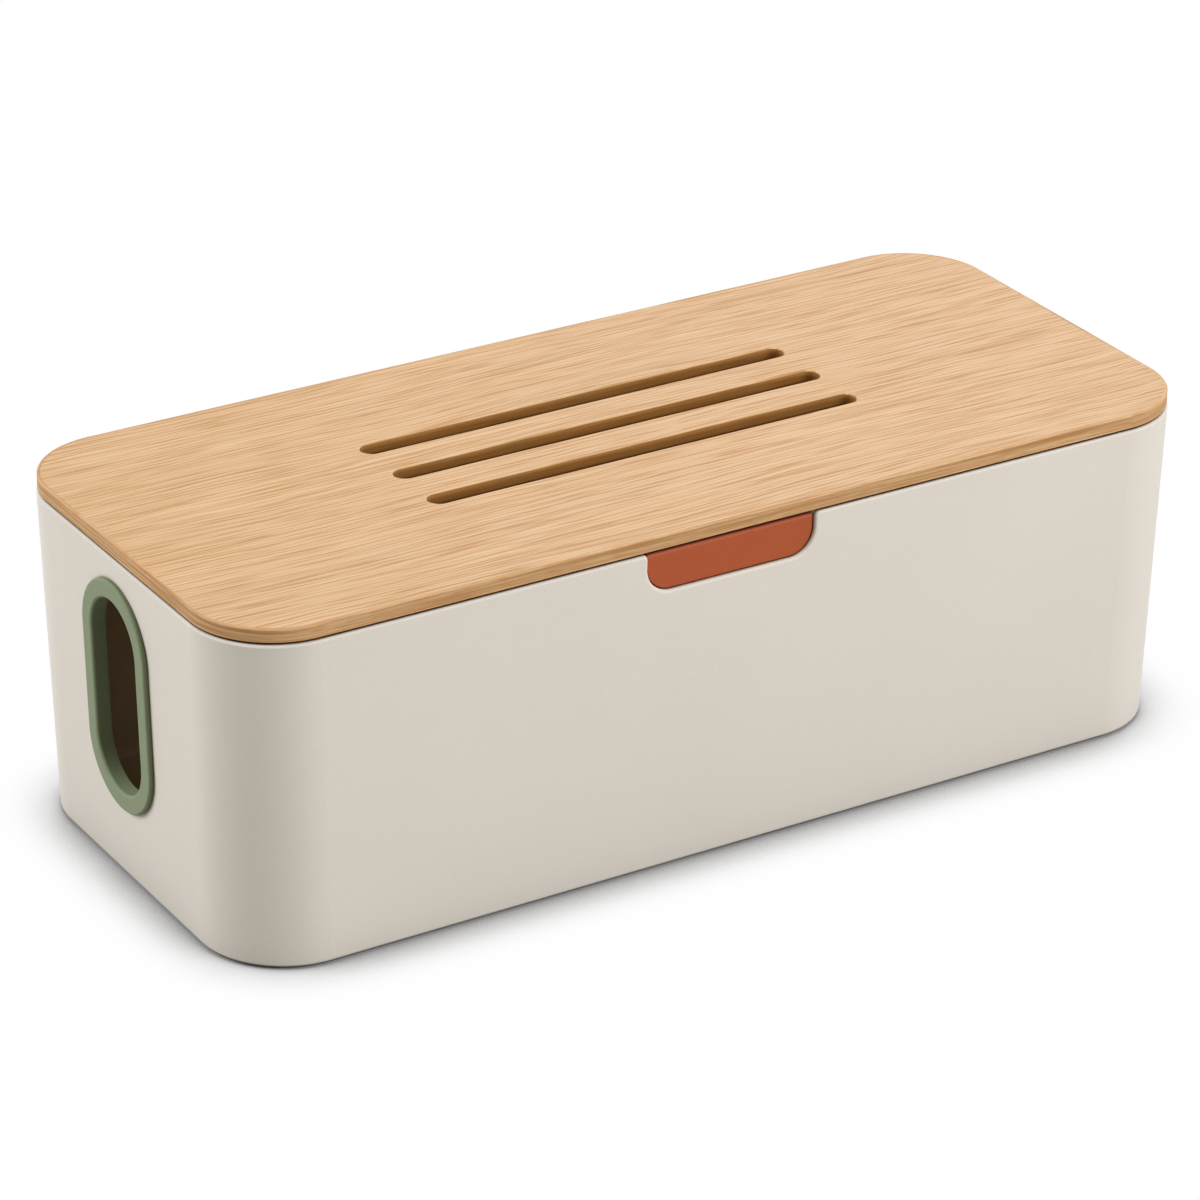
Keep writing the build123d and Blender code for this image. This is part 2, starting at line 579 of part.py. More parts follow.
def make_latch_sled():
    """Sled under the tab: grooved-in plate, upright with spring pins, and magnet holder."""
    z_plate = (Z_SLED, Z_SLED + SLED_THICKNESS)
    sled = block((-SLED_HALF, SLED_HALF), (Y_TAB_BACK, Y_SLED_END), z_plate)
    z_upright = (Z_SLED, Z_SPRING + SPRING_RADIUS)
    upright = block((-FLANGE_HALF, FLANGE_HALF), (Y_TAB_BACK, Y_SLED_WALL), z_upright)
    top_corners = upright.edges().filter_by(Axis.Y).group_by(Axis.Z)[-1]
    sled += fillet(top_corners, SPRING_RADIUS)
    reach = MAGNET_SPREAD + MAGNET_LENGTH / 2 + MAGNET_WALL
    y_holder = (Y_STRIKE - MAGNET_WALL, Y_SLED_END)
    sled += block((-reach, reach), y_holder, (Z_SLED, Z_MAGNET))
    for x in (-reach + MAGNET_WALL / 2, 0, reach - MAGNET_WALL / 2):
        web = (x - MAGNET_WALL / 2, x + MAGNET_WALL / 2)
        sled += block(web, (Y_TAB_BACK, Y_STRIKE), (Z_SLED, Z_MAGNET - MAGNET_HEIGHT))
    for side in (-1, 1):
        pin = facing_front(side * SPRING_SPREAD, Y_SLED_WALL + PIN_LENGTH, Z_SPRING)
        sled += extrude(pin * Circle(PIN_RADIUS), PIN_LENGTH)
        (x_low, x_high), (y_low, y_high) = magnet_span(side)
        gap = SEAT_CLEARANCE
        sled -= block(
            (x_low - gap, x_high + gap), (y_low - gap, y_high + gap),
            (Z_MAGNET - MAGNET_HEIGHT, Z_MAGNET),
        )
        x_slot, z_slot = prong_span(side, SEAT_CLEARANCE)
        sled -= block(x_slot, (Y_TAB_BACK, Y_SLED_WALL), (z_slot[0], z_slot[1] + TAB_PRONG_HOOK))
    return sled


def make_magnet(side):
    """Block magnet in the top of the sled's holder."""
    x_span, y_span = magnet_span(side)
    magnet = block(x_span, y_span, (Z_MAGNET - MAGNET_HEIGHT, Z_MAGNET))
    return chamfer(magnet.edges().filter_by(Axis.Z), MAGNET_CHAMFER)


def make_latch_housing():
    """Open-topped guide for the sled, with ears on the wall's bosses and spring pins."""
    front = Y_INNER + HOUSING_FRONT_GAP
    back = Y_HOUSING_BACK + HOUSING_BACK
    z_side = Z_SLED + SLED_THICKNESS + HOUSING_SIDE_RISE
    z_back = Z_SPRING + SPRING_RADIUS + HOUSING_BACK_RISE
    tray = block((-HOUSING_OUTER, HOUSING_OUTER), (front, back), (Z_HOUSING, z_back))
    tray = chamfer(tray.edges().filter_by(Axis.Z).sort_by(Axis.Y)[-2:], HOUSING_CHAMFER)
    room = (-HOUSING_HALF, HOUSING_HALF)
    tray -= block(room, (front, Y_HOUSING_BACK), (Z_HOUSING + HOUSING_FLOOR, z_back))
    wide = (-HOUSING_OUTER, HOUSING_OUTER)
    tray -= block(wide, (front, Y_HOUSING_BACK), (z_side, z_back))
    groove = HOUSING_HALF + GROOVE_DEPTH
    z_groove = (Z_SLED - RUN_GAP, Z_SLED + SLED_THICKNESS + RUN_GAP)
    tray -= block((-groove, groove), (front, Y_HOUSING_BACK), z_groove)
    for side in (-1, 1):
        ear = facing_front(side * BOSS_X, Y_EAR + EAR_THICKNESS, BOSS_Z)
        radius = EAR_WIDTH / 2
        pad = Circle(radius) + Pos(-side * radius / 2, 0) * Rectangle(radius + 1, 2 * radius)
        tray += extrude(ear * pad, EAR_THICKNESS) - block(room, (front, back), (Z_HOUSING, z_back))
        hole = ear * Circle(SCREW_RADIUS + SEAT_CLEARANCE)
        tray -= extrude(hole, EAR_THICKNESS)
        pin = facing_front(side * SPRING_SPREAD, Y_HOUSING_BACK, Z_SPRING)
        tray += extrude(pin * Circle(PIN_RADIUS), PIN_LENGTH)
    return tray


def make_housing_screws():
    """Two screws through the housing's ears into the wall's bosses."""
    grip = EAR_THICKNESS + SCREW_IN_BOSS
    screws = []
    for side in (-1, 1):
        place = facing_front(side * BOSS_X, Y_EAR + EAR_THICKNESS, BOSS_Z)
        screws.append(place.location * pan_screw(grip))
    return Compound(screws)


def make_spring(side):
    """Compression spring between upright and housing; its wire is six-sided to save faces."""
    radius = SPRING_RADIUS - SPRING_WIRE / 2
    length = Y_HOUSING_BACK - Y_SLED_WALL - SPRING_WIRE
    path = Helix(length / SPRING_TURNS, length, radius)
    start = Plane(origin=path.position_at(0), z_dir=path.tangent_at(0))
    coil = sweep(start * RegularPolygon(SPRING_WIRE / 2, 6), path=path, is_frenet=True)
    seat = facing_front(side * SPRING_SPREAD, Y_HOUSING_BACK - SPRING_WIRE / 2, Z_SPRING)
    return seat.location * coil


# ---------------------------------------------------------------- writing the parts

def all_parts():
    """Every node of the box, by name."""
    parts = {"box_shell": make_box_shell()}
    for name, place in foot_places().items():
        parts[f"foot_{name}"] = make_foot(place)
    for name, (place, _) in corner_posts().items():
        parts[f"lid_bumper_{name}"] = make_bumper(place)
    for end, side in (("left", -1), ("right", 1)):
        parts[f"cable_grommet_{end}"] = make_grommet(side)
        parts[f"latch_magnet_{end}"] = make_magnet(side)
        parts[f"latch_spring_{end}"] = make_spring(side)
    parts["latch_tab"] = make_latch_tab()
    parts["latch_sled"] = make_latch_sled()
    parts["latch_housing"] = make_latch_housing()
    parts["latch_housing_screws"] = make_housing_screws()
    parts["lid_board"] = make_lid_board()
    parts["lid_edge_band"] = make_edge_band()
    parts["lid_frame"] = make_lid_frame()
    parts["lid_frame_screws"] = make_frame_screws()
    parts["lid_catch_pad"] = make_catch_pad()
    parts["lid_strike"] = make_strike()
    parts["lid_strike_screws"] = make_strike_screws()
    return parts


os.makedirs("parts", exist_ok=True)
for node, shape in all_parts().items():
    export_step(shape, f"parts/{node}.step")
    print(node, "volume", round(shape.volume, 1), "valid", shape.is_valid)
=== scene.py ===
"""Looks of a cable management box: moulded tub, oak lid, soft port grommets and a press tab.

Metres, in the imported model's frame: +X runs along the box, +Z is up, and the press tab faces -Y.
"""
import math

import bpy
import numpy as np
from bpy.props import FloatProperty, FloatVectorProperty, PointerProperty
from mathutils import Matrix, Vector


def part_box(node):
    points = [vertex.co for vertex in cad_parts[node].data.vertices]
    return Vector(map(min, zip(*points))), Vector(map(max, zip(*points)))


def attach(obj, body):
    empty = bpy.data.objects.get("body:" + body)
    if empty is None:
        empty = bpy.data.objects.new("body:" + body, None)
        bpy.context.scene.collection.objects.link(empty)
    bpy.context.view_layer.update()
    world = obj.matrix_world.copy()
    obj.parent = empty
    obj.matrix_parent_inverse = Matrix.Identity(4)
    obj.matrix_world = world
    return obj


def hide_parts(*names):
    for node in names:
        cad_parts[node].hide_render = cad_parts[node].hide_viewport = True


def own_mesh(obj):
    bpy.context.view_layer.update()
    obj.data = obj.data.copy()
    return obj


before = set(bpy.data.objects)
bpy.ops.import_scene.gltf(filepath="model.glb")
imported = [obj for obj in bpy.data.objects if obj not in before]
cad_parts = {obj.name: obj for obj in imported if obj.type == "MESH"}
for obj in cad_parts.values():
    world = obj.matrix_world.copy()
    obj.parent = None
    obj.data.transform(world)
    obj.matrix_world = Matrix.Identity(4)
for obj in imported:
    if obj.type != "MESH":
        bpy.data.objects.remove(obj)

bl_info = {
    "name": "Cable management box",
    "version": (1, 0, 0),
    "blender": (4, 5, 0),
    "location": "View3D > Sidebar > Cable box",
    "description": "Dresses the packed cable box in its plastics, oak and rubber, and lights it",
    "category": "Object",
}

MM = 0.001
TUB_LOW, TUB_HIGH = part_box("box_shell")
BAND_LOW, BAND_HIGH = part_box("lid_edge_band")
BOARD_LOW, BOARD_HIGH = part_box("lid_board")
PORT_LOW, PORT_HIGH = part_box("cable_grommet_right")
DRAFT = 2.7 * MM            # how much further in each wall of the tub stands at its base than at its rim
ARC_STEPS = 12              # points on each round corner of a section
PATH_STEPS = 40             # points on each round corner of a path
FLOOR_STEPS = 4             # squares along each side of the floor
WHITE = (1, 1, 1)

# Heading in plan and rise in degrees of each softbox, seen from the box
SOFTBOXES = {"left": ((-0.88, 0.47), 32), "right": ((0.47, -0.88), 32), "back": ((0.7, 0.7), 35)}


# ---------------------------------------------------------------- colours and properties

def linear(code):
    """Linear red, green and blue of an sRGB hex colour."""
    parts = np.array([int(code[n:n + 2], 16) for n in (0, 2, 4)]) / 255
    return tuple(np.where(parts <= 0.04045, parts / 12.92, ((parts + 0.055) / 1.055) ** 2.4))


def colour(name, description, code):
    """A colour that a user can change, from its sRGB hex value."""
    return FloatVectorProperty(
        name=name, description=description, subtype="COLOR", size=3, min=0, max=1, default=linear(code)
    )


def length(name, description, metres):
    """A length that a user can change."""
    return FloatProperty(
        name=name, description=description, unit="LENGTH", precision=5, min=0, default=metres
    )


def number(name, description, value):
    """A plain number that a user can change, from 0 up."""
    return FloatProperty(name=name, description=description, min=0, default=value)


def share(name, description, value):
    """A share from 0 to 1 that a user can change."""
    return FloatProperty(name=name, description=description, subtype="FACTOR", min=0, max=1, default=value)


def rotation(name, description, radians):
    """An angle that a user can change."""
    return FloatProperty(name=name, description=description, subtype="ANGLE", default=radians)


class MouldedLook(bpy.types.PropertyGroup):
    """Colours and grain of the moulded pieces."""

    shell: colour("Tub", "Warm grey of the tub, its latch housing and the lid frame", "D8D0C5")
    # Painted shade: the inner faces are darker and warmer, as shade and light bounced off the oak inside
    inside: colour("Inside", "Slightly warmer tone of the tub's inner faces", "D4C3A6")
    tab: colour("Press tab", "Terracotta of the press tab", "A65130")
    sled: colour("Sled", "Natural acetal of the sled", "E6E2D8")
    sage: colour("Grommets", "Sage of the soft grommets", "818B6E")
    rubber: colour("Feet", "Dark rubber of the feet and lid bumpers", "3A3A38")
    # Painted shade: the share of each colour left in a narrow joint, dark and brown
    painted_joint_shade: colour("Joint tone", "Share of each colour that is left in a narrow joint", "5E4426")
    grit: length("Mould texture", "Distance of the mould's bumps, as coarse as they need to show", 0.9 * MM)
    flow: length("Melt flow", "Distance over which the flow of the melt changes the tint", 70 * MM)
    # Reach of the painted joint shade
    joint: length("Joint shade", "Reach of the shade that gathers in joints and hollows", 3 * MM)
    corner: length("Tub corner", "Plan radius of the tub's corners", 32.5 * MM)


class OakLook(bpy.types.PropertyGroup):
    """Colours and grain of the oak lid."""

    light: colour("Light wood", "Wood between the streaks", "D0AF88")
    middle: colour("Wood", "The board's mean colour", "C59F76")
    dark: colour("Streaks", "Streaks and late wood lines", "AE7F4B")
    pore: colour("Pores", "Open pores, filled by the lacquer", "A3733B")
    cut: colour("Cut wood", "Top of the slots' walls, browned by the cutter", "AD7D48")
    # Painted shade: the slots' walls darken from the cut's brown to a near-black foot
    cut_painted_shade: colour("Lower cut", "Lower part of the slots' walls", "875A28")
    cut_foot_painted_shade: colour("Foot of the cut", "Lowest edge of the slots' walls", "3A1F08")
    edge: colour("Edge", "Edge band", "C9A175")
    edge_dark: colour("Edge streaks", "Streaks along the edge band", "A87B4B")
    streak_pitch: length("Streak pitch", "Distance from streak to streak", 1.2 * MM)
    streak_run: length("Streak run", "Length of a streak along the grain", 100 * MM)
    line_pitch: length("Line pitch", "Distance of the fine lines, as coarse as they need to show", 0.8 * MM)
    line_run: length("Line run", "Length of a fine line along the grain", 28 * MM)
    ring_pitch: length("Ring pitch", "Distance from one late wood line to the next", 2.2 * MM)
    wave: length("Wave", "Sideways swing of the grain", 1.2 * MM)
    wave_run: length("Wave run", "Length of a swing along the grain", 20 * MM)
    slot_length: length("Slot length", "Length of each slot", 179.4 * MM)
    slot_width: length("Slot width", "Width of each slot", 9.1 * MM)
    slot_pitch: length("Slot pitch", "Distance from slot to slot", 24.3 * MM)
    slot_x: length("Slot place", "Middle of the slots along the lid", 0.7 * MM)
    slot_y: length("Slot row", "Middle slot's place across the lid", 2.6 * MM)
    slot_arris: length("Slot arris", "Chamfer on the slots' upper arris", 0.4 * MM)
    # Painted highlight: a pale line along the slots' arris
    arris_highlight_width: length("Sanded edge", "Width of the pale line along the slots' arris", 0.7 * MM)
    band_width: length("Band width", "Thickness of the edge band", 1.2 * MM)
    band_radius: length("Band corner", "Plan radius of the board inside the band", 30.9 * MM)
    edge_run: length("Edge streak run", "Length of a streak along the band", 60 * MM)
    edge_pitch: length("Edge streak pitch", "Distance from streak to streak on the band", 1.1 * MM)
    edge_line_run: length("Edge line run", "Length of a fine line along the band", 9 * MM)
    edge_line_pitch: length("Edge line pitch", "Distance of the band's fine lines", 0.6 * MM)
    top_round: length("Top round", "Radius on the band's upper edge", 0.5 * MM)
    low_round: length("Low round", "Radius on the band's lower edge", 0.2 * MM)


class GrommetLook(bpy.types.PropertyGroup):
    """Sizes of the soft grommets, in the leaning end walls' own planes."""

    width: length("Opening width", "Clear width of the port", 33.4 * MM)
    height: length("Opening height", "Clear height of the port", 75 * MM)
    wall_x: length("Wall", "Outer face of the end wall at the port's centre, from the middle", 198.861 * MM)
    lean: rotation("Lean", "Draft of the end walls", math.atan(DRAFT / (TUB_HIGH.z - TUB_LOW.z)))
    flange: length("Flange", "Reach of the outer flange from the opening", 7.1 * MM)
    proud: length("Proud", "Height of the flange over the wall", 2.0 * MM)
    sleeve: length("Sleeve", "Thickness in the wall's window", 2.0 * MM)
    groove: length("Groove", "Width of the groove that grips the wall", 2.55 * MM)
    lip: length("Lip", "Reach of the inner lip from the opening", 4.6 * MM)
    lip_thickness: length("Lip thickness", "Thickness of the inner lip", 1.4 * MM)
    outer_round: length("Outer round", "Radius on the flange's outer edge", 0.9 * MM)
    bore_round: length("Bore round", "Radius where the flange turns into the bore", 1.2 * MM)
    small_round: length("Small round", "Radius on the hidden edges", 0.15 * MM)


class StageLook(bpy.types.PropertyGroup):
    """Camera, lamps and floor."""

    azimuth: rotation("Azimuth", "Camera turn from the front", math.radians(-31.399))
    elevation: rotation("Elevation", "Camera height angle", math.radians(26.184))
    roll: rotation("Roll", "Camera roll", math.radians(0.414))
    distance: length("Distance", "Camera to its aim", 1.86575)
    aim_height: length("Aim height", "Height of the point that the framing is counted from", 68.2 * MM)
    box_right: length("Box right", "How far that point stands right of the picture's middle", 4.307 * MM)
    box_up: length("Box up", "How far that point stands above the picture's middle", 5.135 * MM)
    lens: FloatProperty(name="Lens", description="Focal length on a 36 mm wide square sensor",
                        unit="CAMERA", default=152.64)
    fill: number("Fill", "Strength of the even light from all round", 0.27)
    fill_tint: colour("Fill tint", "Tint of the even light", "FFF7D8")
    lamp_tint: colour("Lamp tint", "Tint of the softboxes", "F7F9FF")
    left_level: number("Left softbox", "Light on a face turned to it, 1 is full", 0.905)
    right_level: number("Right softbox", "Light on a face turned to it, 1 is full", 0.98)
    back_level: number("Back softbox", "Light on a face turned to it, 1 is full", 0.39)
    lamp_distance: length("Softbox distance", "From the middle of the box to each softbox", 3.0)
    lamp_size: length("Softbox size", "Side of each softbox", 1.8)
    floor_bounce: share("Floor bounce", "Share of the light that the floor returns", 0.35)
    # The floor's painted shadow: its lightness, reach and fall
    floor_shade: share("Floor shade", "Lightness of the floor where the box shades it", 0.42)
    shade_reach: length("Shade reach", "Distance over which the box shades the floor", 31 * MM)
    shade_fall: number("Shade fall", "How fast the shade fades from the box", 2.4)
    floor_size: length("Floor size", "Side of the floor", 12.0)


LOOKS = {"moulded": MouldedLook, "oak": OakLook, "grommet": GrommetLook, "stage": StageLook}


def look(name):
    """The scene's own settings of one group."""
    return getattr(bpy.context.scene, "cable_box_" + name)


# ---------------------------------------------------------------- numpy surfaces

def unit(vectors):
    """Rows scaled to length 1."""
    return vectors / np.linalg.norm(vectors, axis=-1, keepdims=True)


def rounded_outline(corners, radii, steps):
    """Points and outward normals of an anticlockwise outline whose corners are arcs.

    An arc's centre lies on the corner's bisector, radius / sin(half angle) from the corner, and
    the arc turns evenly from one tangent point to the other. Its normal is the spoke from that
    centre, turned round where the corner is hollow.
    """
    corners = np.asarray(corners, float)
    radii = np.broadcast_to(np.asarray(radii, float), len(corners))
    back = unit(np.roll(corners, 1, axis=0) - corners)
    ahead = unit(np.roll(corners, -1, axis=0) - corners)
    half = np.arccos(np.clip((back * ahead).sum(1), -1, 1)) / 2
    centre = corners + unit(back + ahead) * (radii / np.sin(half))[:, None]
    reach = (radii / np.tan(half))[:, None]
    first = corners + back * reach - centre
    last = corners + ahead * reach - centre
    start = np.arctan2(first[:, 1], first[:, 0])
    turn = (np.arctan2(last[:, 1], last[:, 0]) - start + np.pi) % (2 * np.pi) - np.pi
    angle = start[:, None] + turn[:, None] * np.linspace(0, 1, steps)
    spoke = np.stack([np.cos(angle), np.sin(angle)], axis=-1)
    points = (centre[:, None] + radii[:, None, None] * spoke).reshape(-1, 2)
    normals = (np.sign(turn)[:, None, None] * spoke).reshape(-1, 2)
    apart = np.linalg.norm(points - np.roll(points, 1, axis=0), axis=1) > 1e-8
    return points[apart], normals[apart]


def carried_round(path, section, place):
    """Grid of a section carried round a flat closed path, with its normals.

    P(i, j) = origin + A * (a_i + m_i * s_j) + B * (b_i + n_i * s_j) + C * h_j, where (a, b) is the
    path, (m, n) its outward normal, and (s, h) the section as reach from the path and height.
    """
    (points, outward), (profile, lean) = path, section
    origin, axes = place[:3, 3], place[:3, :3]
    flat = points[:, None] + outward[:, None] * profile[None, :, :1]
    height = np.broadcast_to(profile[None, :, 1:], flat.shape[:2] + (1,))
    grid = origin + np.concatenate([flat, height], axis=-1) @ axes.T
    side = outward[:, None] * lean[None, :, :1]
    rise = np.broadcast_to(lean[None, :, 1:], side.shape[:2] + (1,))
    return grid, unit(np.concatenate([side, rise], axis=-1)) @ axes.T


def run_length(points):
    """Distance along a closed line at each point, with the whole length last."""
    steps = np.linalg.norm(np.roll(points, -1, axis=0) - points, axis=1)
    return np.concatenate([[0], np.cumsum(steps)])


def closed_mesh(name, grid, normals, along, across):
    """An object from a grid that closes both ways, with exact normals and a map in metres."""
    rows, columns = grid.shape[:2]
    i, j = (index.ravel() for index in np.meshgrid(np.arange(rows), np.arange(columns), indexing="ij"))
    corner_i = np.stack([i, i + 1, i + 1, i], axis=1)
    corner_j = np.stack([j, j, j + 1, j + 1], axis=1)
    faces = (corner_i % rows) * columns + corner_j % columns
    points = grid.reshape(-1, 3)
    spokes = normals.reshape(-1, 3)
    edge_a = points[faces[:, 1]] - points[faces[:, 0]]
    edge_b = points[faces[:, 3]] - points[faces[:, 0]]
    if (np.cross(edge_a, edge_b) * spokes[faces[:, 0]]).sum() < 0:
        faces, corner_i, corner_j = faces[:, ::-1], corner_i[:, ::-1], corner_j[:, ::-1]
    mesh = bpy.data.meshes.new(name)
    mesh.from_pydata(points.tolist(), [], faces.tolist())
    layer = mesh.uv_layers.new(name="grain")
    places = np.stack([along[corner_i], across[corner_j]], axis=-1)
    layer.uv.foreach_set("vector", places.astype(np.float32).ravel())
    mesh.shade_smooth()
    mesh.normals_split_custom_set_from_vertices(spokes.tolist())
    mesh.validate()
    piece = bpy.data.objects.new(name, mesh)
    bpy.context.scene.collection.objects.link(piece)
    return piece


def ring_piece(name, path, section, place):
    """A closed ring with its section carried round its path."""
    grid, normals = carried_round(path, section, place)
    return closed_mesh(name, grid, normals, run_length(path[0]), run_length(section[0]))


# ---------------------------------------------------------------- materials

PLASTIC_SHINE, OAK_SHINE = 0.14, 0.2    # specular level of eroded plastic and of matt lacquer
TAB_PAINTED_SHADE = 2.4             # the painted joint shade under the lid reaches this many times further on the press tab
# Where the painted shade of the tub's inner faces begins, and how fast it turns
WALL_MIDDLE = 1.2 * MM      # depth in the tub's wall where its outer tone starts to turn to the inner
FLOOR_MIDDLE = 1.5 * MM     # height over the tub's underside where it does so in the floor
TONE_TURN = 0.3 * MM        # width over which it turns
ARRIS_HIGHLIGHT_TINT = 1.32          # how much paler the painted highlight along the slots' arris is

# Depth of each relief, from the lowest to the highest value of the noise that makes it
GRIT_RELIEF, STEEL_RELIEF = 0.012 * MM, 0.004 * MM
BOARD_RELIEF, BAND_RELIEF = 0.015 * MM, 0.03 * MM

# Run along the grain and pitch across it of the slow noises: the rings bend and swing by a reach,
# drift by a turn in radians, so that their lines are uneven and fade, and the tone changes
BEND_RUN, BEND_PITCH, BEND_REACH = 190 * MM, 60 * MM, 16 * MM
SWING_PITCH = 14 * MM
DRIFT_RUN, DRIFT_PITCH, DRIFT_TURN = 80 * MM, 5 * MM, 11.0
TONE_RUN, TONE_PITCH = 220 * MM, 16 * MM
FINE_SHARE = 0.58           # weight of the fine lines in the figure, the rest is the streaks'

# Each noise of the wood is moved by its own amount, so that no two on a piece look alike
SEED = {"bend": 0.0, "swing": 17.0, "streak": 3.0, "line": 5.0, "tone": 11.0, "drift": 23.0,
        "edge streak": 2.0, "edge line": 5.0}

# Spans of the Map Range nodes, by socket: 1 and 2 are the ends that it reads, 3 and 4 what it gives
NOISE_SPAN = {1: 0.3, 2: 0.7}       # nearly all values of a noise
PAINTED_SHADE_SPAN = {1: 0.15, 2: 0.8}      # open share of the sky where the painted joint shade is darkest and where it ends
RING_SPAN = {1: 0.2, 2: 1.0}        # part of a ring's wave that is late wood
UP, DOWN = {3: 0.0, 4: 1.0}, {3: 1.0, 4: 0.0}       # a share that grows over the span, or falls
FLOW_TINT = {3: 0.985, 4: 1.01}     # share of the colour that the melt's flow leaves
GRIT_TINT = {3: 0.985, 4: 1.015}    # share of it that the mould's grit leaves
BOARD_TINT = {3: 0.98, 4: 1.02}     # slow change of tone over the board
BOARD_GLOSS, BAND_GLOSS = {3: 0.60, 4: 0.50}, {3: 0.58, 4: 0.50}    # roughness of dark and pale wood
PORE_SHARE = {1: 0.34, 2: 0.44, 3: 0.5, 4: 0.0}     # share of pore in the darkest fine lines
LATE_SHARE = {1: 0.35, 2: 0.62, 3: 0.85, 4: 0.32}   # share of late wood that dark and pale lines keep
WALL_TINT = {1: 0.36, 2: 0.6, 3: 0.85, 4: 1.12}     # tint that the figure gives the slots' walls
BAND_LINES = {1: 0.52, 2: 0.7, 3: 0.0, 4: 0.5}      # share of pore in the band's fine lines
SLOT_WALL = {1: 0.1 * MM, 2: 0.3 * MM}              # distance from a slot's edge where its wall ends

# Tone of the edge band at shares of its height: pale painted highlights near both arrises, with a
# darker line under the upper one. The first two are the ends.
EDGE_TONES_AND_HIGHLIGHTS = ((0.0, 1.0), (1.0, 1.02), (0.05, 1.2), (0.12, 1.0), (0.78, 1.0), (0.86, 0.94),
              (0.9, 0.98), (0.95, 1.16), (0.985, 1.06))


def add(tree, kind, inputs=None, stops=(), **settings):
    """Add one node: settings are its properties, inputs give each socket a value or a link, and
    stops are the places and colours of a colour ramp."""
    node = tree.nodes.new("ShaderNode" + kind)
    for name, value in settings.items():
        setattr(node, name, value)
    for key, value in (inputs or {}).items():
        socket = node.inputs[key]
        if isinstance(value, bpy.types.NodeSocket):
            tree.links.new(value, socket)
        elif socket.type == "RGBA":
            socket.default_value = (*value, 1)
        else:
            socket.default_value = value
    for n, (place, tint) in enumerate(stops):
        band = node.color_ramp.elements
        stop = band[n] if n < 2 else band.new(place)
        stop.position = place
        stop.color = (*tint, 1)
    return node


def new_material(name, **sockets):
    """A material with a bare principled shader, whose sockets are set to plain values."""
    material = bpy.data.materials.new(name)
    material.use_nodes = True
    tree = material.node_tree
    tree.nodes.clear()
    shader = add(tree, "BsdfPrincipled", sockets)
    add(tree, "OutputMaterial", {"Surface": shader.outputs[0]})
    return material, tree, shader


def drawn_noise(tree, source, run, pitch, seed, detail=1.0):
    """Noise that is drawn out along the grain: features run long and pitch wide, in metres."""
    scaled = add(tree, "Mapping", {"Vector": source, "Scale": (1 / run, 1 / pitch, 1 / pitch),
                                   "Location": (seed, seed, seed)}).outputs[0]
    noise = add(tree, "TexNoise", {"Vector": scaled, "Scale": 1.0, "Detail": detail, "Roughness": 0.6})
    return noise.outputs["Fac"]


def inside_share(tree, style, where):
    """1 on the tub's inner faces, 0 on its outer ones: how far a point lies inside the drafted wall. It masks
    the painted shade of the inner faces.

    Past the corner's centre the wall is the corner's radius away, so depth = radius - |past|.
    """
    height = add(tree, "SeparateXYZ", {0: where}).outputs[2]
    lean = add(tree, "MapRange", {0: height, 1: TUB_LOW.z, 2: TUB_HIGH.z, 3: DRAFT, 4: 0.0}).outputs[0]
    half = add(tree, "VectorMath", {0: where}, operation="ABSOLUTE").outputs[0]
    grown = add(tree, "CombineXYZ", {0: lean, 1: lean}).outputs[0]
    square = add(tree, "VectorMath", {0: half, 1: grown}, operation="ADD").outputs[0]
    centre = (TUB_HIGH.x - style.corner, TUB_HIGH.y - style.corner, TUB_HIGH.z)
    past = add(tree, "VectorMath", {0: square, 1: centre}, operation="SUBTRACT").outputs[0]
    past = add(tree, "VectorMath", {0: past, 1: (0, 0, 0)}, operation="MAXIMUM").outputs[0]
    reach = add(tree, "VectorMath", {0: past}, operation="LENGTH").outputs["Value"]
    outer = style.corner - WALL_MIDDLE
    depth = add(tree, "MapRange", {0: reach, 1: outer, 2: outer - TONE_TURN, **UP}).outputs[0]
    base = TUB_LOW.z + FLOOR_MIDDLE
    above = add(tree, "MapRange", {0: height, 1: base, 2: base + TONE_TURN, **UP}).outputs[0]
    return add(tree, "Math", {0: depth, 1: above}, operation="MULTIPLY").outputs[0]


